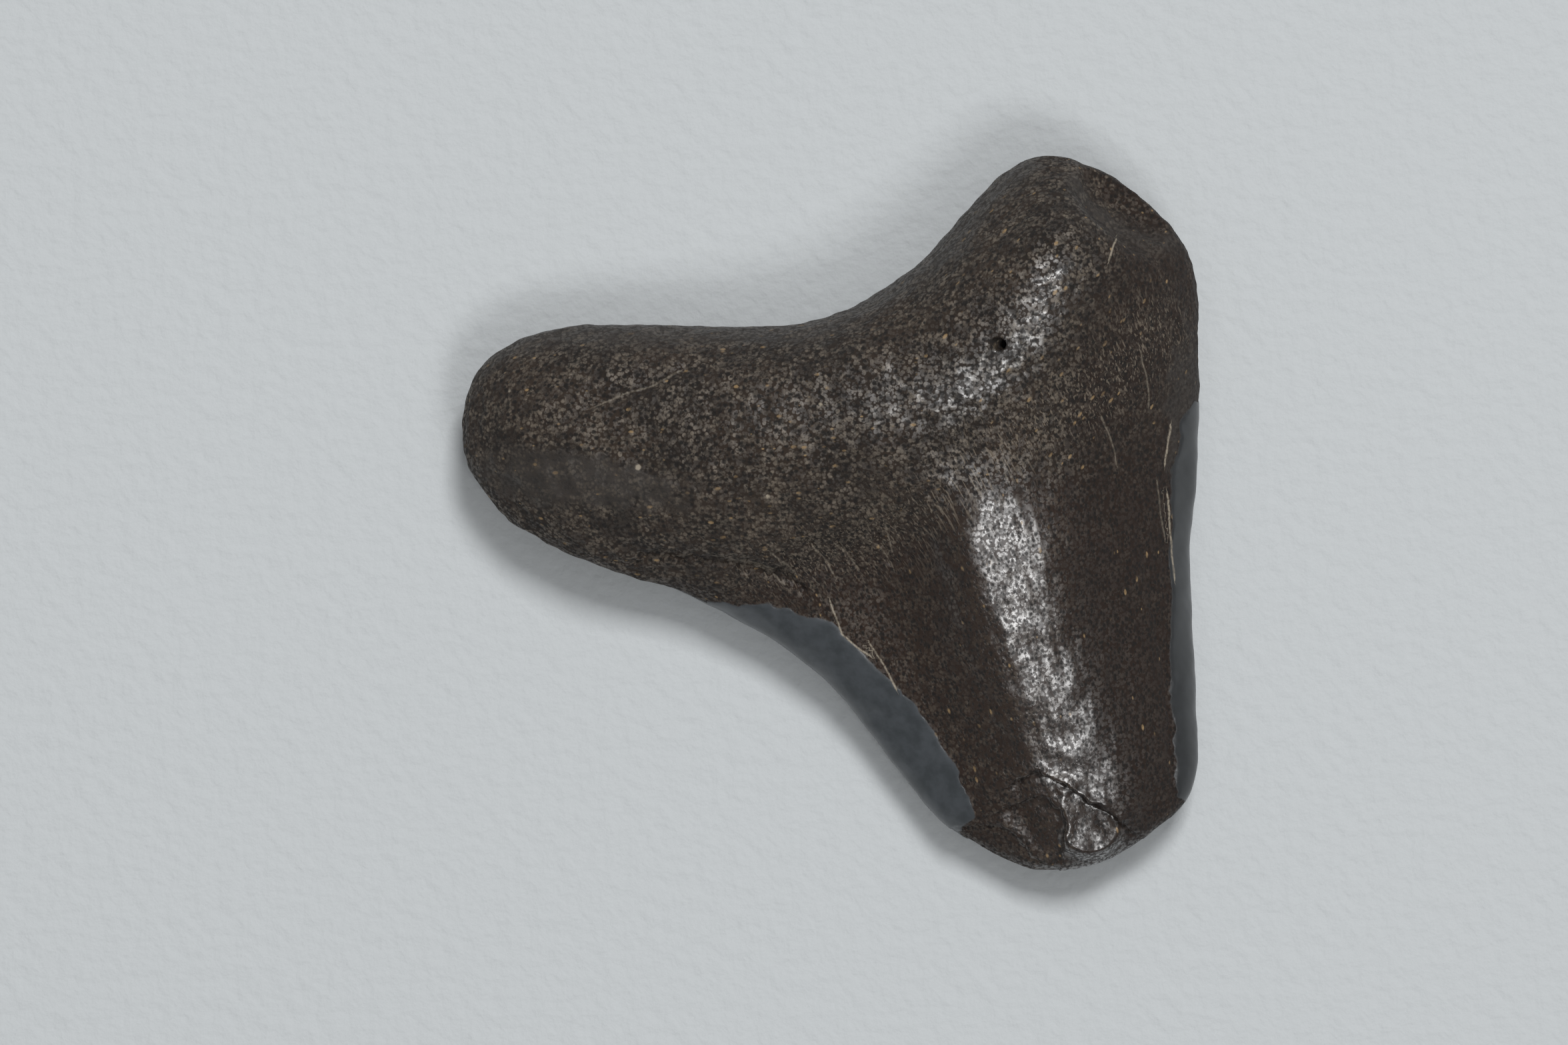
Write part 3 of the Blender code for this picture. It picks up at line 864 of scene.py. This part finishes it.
# The tooth's surface. Sizes and heights are in mm
surface = {
    "dentine": tone(46, 35, 26),
    # painted shade in the pits
    "pitShadeColour": tone(14, 10, 8),
    "dentineDark": tone(31, 22, 15),
    # light dots on the grains: painted glints on their tops, partly their own paler colour
    "paleGrainAndGlint": tone(118, 107, 93),
    "dentineWorn": tone(51, 46, 42),
    "crownBrown": tone(39, 23, 12),
    "rightBrown": tone(31, 17, 7),
    "enamel": tone(76, 80, 84),
    "enamelDark": tone(62, 66, 69),
    "enamelRight": tone(43, 43, 43),
    "fleck": tone(140, 116, 82),
    "pale": tone(150, 140, 124),
    "scratch": tone(122, 111, 97),
    # how much of a colour shows where its mask is full
    "crownShare": 0.8,
    "brownShare": 0.85,
    "wornShare": 0.75,
    "scratchShare": 0.65,
    "enamelRightShare": 0.7,
    # light dots on the grains, painted glints on their tops and partly their paler colour: their
    # share, less on the crown and on the right
    "speckleShare": 0.76,
    "speckleOnCrown": -0.42,
    "speckleOnRight": -0.68,
    # how much of the wide and the small pits is darkened with painted shade
    "pitShadeShares": (0.8, 0.9),
    "calmShare": 0.5,               # of the grain that a worn spot loses
    "fleckShare": 0.13,             # of the cells that hold a fleck
    "flecksOnCrown": -0.6,
    "pitsOffPolish": 0.5,           # of the wide pits' strength, away from the root's crest
    # noise: its scale in turns a metre, its detail and its roughness
    "slow": (260.0, 3.0, 0.55),
    "mottle": (1500.0, 3.0, 0.6),
    "wander": (3500.0, 2.0, 0.5),
    "wanderReach": 0.07,
    "lineWander": 0.8,              # of that, for a pale line
    # fibres and scratches: the turn in degrees, the cell, then detail and roughness
    "fibres": (grainTurns[2], (1.4, 0.2), 3.0, 0.6),
    "scratches": (-62.0, (1.5, 0.09), 2.0, 0.5),
    # from where to where a mask comes in, and where there are four, its values there
    "slowEdge": (0.35, 0.62),
    "speckleEdge": (0.41, 0.58, 0.15, 1.0),
    "fleckEdge": (0.36, 0.6),
    "scratchEdge": (0.56, 0.64),
    "enamelEdge": (-0.03, 0.05),
    "enamelCloud": (0.3, 0.7),
    "lineEdge": (0.0, 0.06, 1.0, 0.0),
    "lineGrain": (0.0, 0.3, 0.5, 1.0),
    "paleGrainEdge": (-0.05, 0.02, 1.0, 0.0),
    "groundEdge": (0.05, 0.35, 1.0, 0.0),
    "widePitReach": (0.25, 0.62),
    "smallPitReach": (0.36, 0.72),
    "grainSize": 0.11,
    "grainHeight": 0.005,
    "widePitBump": 0.030,
    "smallPitBump": 0.012,
    "fibreHeight": 0.0035,
    "enamelGrain": 0.0005,
    "polishedGrain": -0.85,         # of the grain's height, on a polished crest
    "polishedFibres": -0.7,
    # roughness, and what each kind of ground adds to it
    "roughness": 0.60,
    "brownRoughness": 0.2,
    "wornRoughness": -0.08,
    "enamelRoughness": -0.26,
    "groundRoughness": 0.3,
    "pitRoughness": 0.40,
    "crownPolish": -0.37,
    "rootPolish": -0.34,
    "groundAsPit": 0.85,            # how far the ground between the dots counts as a pit
    "groundOnCrown": -0.2,
    "polishCoat": 1.0,
    "coatRoughness": 0.25,
    "coatIor": 1.65,
    "ior": 1.6,
}


# The masks that the surface's colour, shine and relief share
def makeMasks(s):
    place = s.new("ShaderNodeTexCoord").outputs["Object"]
    names = ("crown", "upperLobe", "crownPolish", "rootPolish", "rightShade", "paleSide",
             "paleNear", "grainGap", "scratched")
    masks = {name: s.mark(name) for name in names}
    crown, rootPolish = masks["crown"], masks["rootPolish"]
    pitTree = makePits()

    def fibreCells(cells):
        return alongFibres(s, place, masks["upperLobe"], crown, cells)

    def pits(cells, reach):
        narrow, wide = reach
        return useGroup(s, pitTree, Cells=fibreCells(cells), Narrow=narrow, Wide=wide).outputs[0]

    def streaks(turn, cell, detail, roughness):
        return s.noise(s.laid(place, turn, cell), 1.0, detail, roughness)

    grain = useGroup(s, makeStoneGrain(), Place=place, Size=surface["grainSize"] * mm).outputs
    masks["grain"], masks["speckle"] = grain["Height"], grain["GlintSpeckle"]
    least = surface["pitsOffPolish"]
    wide = pits(widePits, surface["widePitReach"])
    wide = s.times(wide, s.plus(least, rootPolish, 1.0 - least))
    small = pits(smallPits, surface["smallPitReach"])
    masks["wide"], masks["small"] = wide, small
    # Painted shade in the pits, a mask that also makes them rougher and duller
    dark, darker = surface["pitShadeShares"]
    masks["dark"] = s.most(s.times(wide, dark), s.times(small, darker))
    share = surface["fleckShare"]
    share = s.plus(share, crown, surface["flecksOnCrown"] * share)
    flecks = useGroup(s, makeFlecks(), Cells=fibreCells(fleckCells), Share=share)
    masks["flecks"] = flecks.outputs["Mask"]
    masks["fibres"] = streaks(*surface["fibres"])
    masks["scratches"] = s.spread(streaks(*surface["scratches"]), *surface["scratchEdge"])
    masks["slow"] = s.noise(place, *surface["slow"])
    masks["mottled"] = s.noise(place, *surface["mottle"])
    wander = s.math("SUBTRACT", s.noise(place, *surface["wander"]), 0.5)
    wander = s.times(wander, surface["wanderReach"])
    masks["wander"] = wander
    masks["enamel"] = s.spread(s.math("ADD", s.mark("enamelGap"), wander), *surface["enamelEdge"])
    masks["bare"] = s.opposite(masks["enamel"])
    masks["worn"] = s.most(s.mark("flatWear"), s.mark("sideWear"))
    masks["unworn"] = s.opposite(s.times(masks["worn"], surface["calmShare"]))
    masks["calm"] = s.times(masks["unworn"], masks["bare"])
    masks["browned"] = s.most(masks["rightShade"], s.mark("hollow"))
    masks["polish"] = s.most(masks["crownPolish"], rootPolish)
    return masks


# Pale flaking lines and pale grains
def makePale(s, masks):
    lineGap = s.plus(masks["paleSide"], masks["wander"], surface["lineWander"])
    line = s.spread(s.math("ABSOLUTE", lineGap), *surface["lineEdge"])
    line = s.times(line, masks["paleNear"])
    line = s.times(line, s.spread(masks["speckle"], *surface["lineGrain"]))
    grainGap = s.math("ADD", masks["grainGap"], masks["wander"])
    return s.most(line, s.spread(grainGap, *surface["paleGrainEdge"]))


def makeColour(s, masks):
    unworn, mottled = masks["unworn"], masks["mottled"]
    slow = s.spread(masks["slow"], *surface["slowEdge"])
    colour = s.blend(slow, surface["dentineDark"], surface["dentine"])
    crown = s.times(masks["crown"], surface["crownShare"])
    colour = s.blend(crown, colour, surface["crownBrown"])
    browned = s.times(masks["browned"], surface["brownShare"])
    colour = s.blend(browned, colour, surface["rightBrown"])
    worn = s.times(masks["worn"], surface["wornShare"])
    colour = s.blend(worn, colour, surface["dentineWorn"])
    # Light dots on the grains: painted glints on their tops, partly the grains' own paler colour
    share = s.plus(surface["speckleShare"], masks["crown"], surface["speckleOnCrown"])
    speckle = s.times(masks["speckle"], share)
    speckle = s.times(speckle, s.spread(mottled, *surface["speckleEdge"]))
    speckle = s.times(speckle, s.plus(1.0, masks["rightShade"], surface["speckleOnRight"]))
    colour = s.blend(s.times(speckle, unworn), colour, surface["paleGrainAndGlint"])
    # painted shade in the pits
    colour = s.blend(s.times(masks["dark"], unworn), colour, surface["pitShadeColour"])
    flecks = s.times(masks["flecks"], s.spread(mottled, *surface["fleckEdge"]))
    colour = s.blend(s.times(flecks, unworn), colour, surface["fleck"])
    scratches = s.times(masks["scratches"], masks["scratched"])
    colour = s.blend(s.times(scratches, surface["scratchShare"]), colour, surface["scratch"])
    cloud = s.spread(mottled, *surface["enamelCloud"])
    coat = s.blend(cloud, surface["enamelDark"], surface["enamel"])
    right = s.times(masks["rightShade"], surface["enamelRightShare"])
    coat = s.blend(right, coat, surface["enamelRight"])
    colour = s.blend(masks["enamel"], colour, coat)
    return s.blend(makePale(s, masks), colour, surface["pale"])


# Roughness, and the shine of the polished crests between their pits
def makeShine(s, masks):
    crownPolish, calm = masks["crownPolish"], masks["calm"]
    duller = s.math("SUBTRACT", masks["bare"], crownPolish, clamp=True)
    duller = s.times(masks["browned"], duller)
    rough = s.plus(surface["roughness"], duller, surface["brownRoughness"])
    rough = s.plus(rough, crownPolish, surface["crownPolish"])
    rough = s.plus(rough, masks["rootPolish"], surface["rootPolish"])
    rough = s.plus(rough, masks["worn"], surface["wornRoughness"])
    rough = s.plus(rough, masks["enamel"], surface["enamelRoughness"])
    ground = s.times(s.spread(masks["speckle"], *surface["groundEdge"]), calm)
    rough = s.plus(rough, ground, surface["groundRoughness"])
    asPit = s.plus(surface["groundAsPit"], masks["crown"], surface["groundOnCrown"])
    pitted = s.most(s.times(masks["dark"], calm), s.times(ground, asPit))
    rough = s.plus(rough, pitted, surface["pitRoughness"], clamp=True)
    shine = s.times(masks["polish"], s.plus(masks["bare"], pitted, -1.0, clamp=True))
    return rough, s.times(shine, surface["polishCoat"])


# The relief that is finer than the mesh, in mm
def makeRelief(s, masks):
    polish, grain = masks["polish"], masks["grain"]
    grainHeight = surface["grainHeight"]
    grainHeight = s.plus(grainHeight, polish, surface["polishedGrain"] * grainHeight)
    height = s.times(grain, grainHeight)
    height = s.plus(height, masks["wide"], -surface["widePitBump"])
    height = s.plus(height, masks["small"], -surface["smallPitBump"])
    fibres = s.times(s.times(masks["fibres"], masks["crown"]), surface["fibreHeight"])
    fibres = s.times(fibres, s.plus(1.0, polish, surface["polishedFibres"]))
    height = s.times(s.math("ADD", height, fibres), masks["calm"])
    return s.plus(height, grain, surface["enamelGrain"])


def makeSurface():
    material = bpy.data.materials.new("wornFossilTooth")
    material.use_nodes = True
    tree = material.node_tree
    tree.nodes.clear()
    s = NodeMaker(tree)
    masks = makeMasks(s)
    rough, shine = makeShine(s, masks)
    bump = s.new("ShaderNodeBump")
    bump.inputs["Strength"].default_value = 1.0
    bump.inputs["Distance"].default_value = mm
    s.feed(bump.inputs["Height"], makeRelief(s, masks))

    shader = s.new("ShaderNodeBsdfPrincipled")
    shader.inputs["IOR"].default_value = surface["ior"]
    s.feed(shader.inputs["Base Color"], makeColour(s, masks))
    s.feed(shader.inputs["Roughness"], rough)
    s.feed(shader.inputs["Coat Weight"], shine)
    shader.inputs["Coat Roughness"].default_value = surface["coatRoughness"]
    shader.inputs["Coat IOR"].default_value = surface["coatIor"]
    s.feed(shader.inputs["Normal"], bump.outputs[0])
    out = s.new("ShaderNodeOutputMaterial")
    s.feed(out.inputs["Surface"], shader.outputs[0])
    return material


def makeTooth():
    material = makeSurface()
    piece = makeFineMesh()
    marks = markSurface(piece)
    carve(piece, marks)
    addGrain(piece, material)
    thinUnderside(piece)
    piece.data.shade_smooth()
    piece.data.materials.clear()
    piece.data.materials.append(material)
    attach(piece, "root")
    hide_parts("tooth")


# The setting: pale paper, a soft light over the photograph's upper edge, weaker ones over its
# lower edge and overhead, and the camera
setting = {
    "photoScale": 0.027,             # mm a pixel of the photograph
    "photoSize": (2352, 1568),
    "toothMiddle": (1244.5, 773.0),  # the pixel over the frame's origin
    "lens": 200.0,
    "sensor": 36.0,
    "focusHeight": 2.6,              # mm, where the photograph's scale holds
    "paper": tone(199, 203, 205),
    "paperRoughness": 0.9,
    "paperDepth": 0.02,              # mm under the tooth
    "paperGrain": (1500.0, 4.0),     # turns a metre, and detail
    "paperBump": (0.6, 0.2),         # strength, and height in mm
    # name: turn from +X and height in degrees, distance, size, share of the paper's light
    "lights": {
        "upper": (74.0, 62.0, 0.90, 0.22, 0.53),
        "lower": (-60.0, 63.0, 0.90, 0.22, 0.20),
        "overhead": (0.0, 84.0, 0.90, 0.80, 0.18),
    },
    "room": 0.09,
    "roomTint": (0.95, 0.98, 1.0, 1.0),
}


def makeFloor():
    bpy.ops.mesh.primitive_plane_add(size=1.0)
    floor = bpy.context.object
    floor.name = "paper"
    floor.location = (0.0, 0.0, -setting["paperDepth"] * mm)
    material = bpy.data.materials.new("palePaper")
    material.use_nodes = True
    s = NodeMaker(material.node_tree)
    shader = material.node_tree.nodes["Principled BSDF"]
    shader.inputs["Base Color"].default_value = setting["paper"]
    shader.inputs["Roughness"].default_value = setting["paperRoughness"]
    strength, height = setting["paperBump"]
    bump = s.new("ShaderNodeBump")
    bump.inputs["Strength"].default_value = strength
    bump.inputs["Distance"].default_value = height * mm
    place = s.new("ShaderNodeTexCoord").outputs["Object"]
    s.feed(bump.inputs["Height"], s.noise(place, *setting["paperGrain"]))
    s.feed(shader.inputs["Normal"], bump.outputs[0])
    floor.data.materials.append(material)


# A soft light, aimed at the tooth. Strength is the share of the paper's light that it gives
def makeLight(name, turn, height, away, size, strength):
    turn, height = math.radians(turn), math.radians(height)
    place = Vector((math.cos(height) * math.cos(turn), math.cos(height) * math.sin(turn),
                    math.sin(height))) * away
    light = bpy.data.lights.new(name, "AREA")
    light.shape = "SQUARE"
    light.size = size
    light.energy = strength * math.pi**2 * away**2 / math.sin(height)
    obj = bpy.data.objects.new(name, light)
    bpy.context.scene.collection.objects.link(obj)
    obj.location = place
    obj.rotation_euler = place.to_track_quat("Z", "Y").to_euler()


def makeLights():
    for name, values in setting["lights"].items():
        makeLight(name, *values)
    world = bpy.data.worlds.new("softRoom")
    bpy.context.scene.world = world
    world.use_nodes = True
    back = world.node_tree.nodes["Background"]
    back.inputs[0].default_value = setting["roomTint"]
    back.inputs[1].default_value = setting["room"]
    bpy.context.scene.view_settings.view_transform = "Standard"


def makeCamera():
    wide, tall = setting["photoSize"]
    middleX, middleY = setting["toothMiddle"]
    scale = setting["photoScale"] * mm
    x = (wide / 2 - middleX) * scale
    y = -(tall / 2 - middleY) * scale
    data = bpy.data.cameras.new("camera")
    data.lens = setting["lens"]
    data.sensor_width = setting["sensor"]
    away = wide * scale * data.lens / data.sensor_width
    camera = bpy.data.objects.new("camera", data)
    bpy.context.scene.collection.objects.link(camera)
    camera.location = (x, y, away + setting["focusHeight"] * mm)
    bpy.context.scene.camera = camera


makeTooth()
makeFloor()
makeLights()
makeCamera()
print("scene set")
